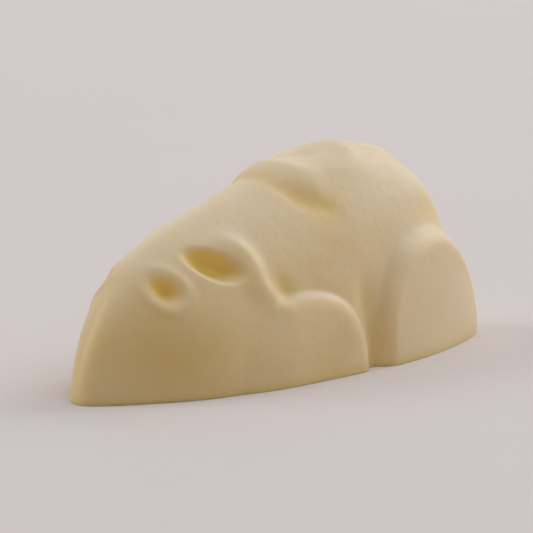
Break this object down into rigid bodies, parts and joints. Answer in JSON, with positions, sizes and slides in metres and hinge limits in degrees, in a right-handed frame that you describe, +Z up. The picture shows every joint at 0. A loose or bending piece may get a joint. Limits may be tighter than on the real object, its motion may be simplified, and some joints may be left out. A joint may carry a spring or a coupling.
{
  "type": "mouse-shaped candy",
  "caption": "Moulded white chocolate mouse with pointed nose, dimpled eyes and ears, rounded haunches and a curled tail on its back; a loose sweet that lies on its flat base.",
  "frame": {"origin": "middle of the flat base's bounding rectangle, on the base plane", "axes": "+X from the nose to the rump, +Y the mouse's right side, +Z up from the flat base"},
  "size_m": [0.038, 0.0146, 0.0135],
  "materials": {
    "white_chocolate": "smooth satin ivory white chocolate, slightly translucent, with a deeper golden hue in its dimples"
  },
  "bodies": {
    "root": {"mouse": "white_chocolate"}
  },
  "joints": []
}
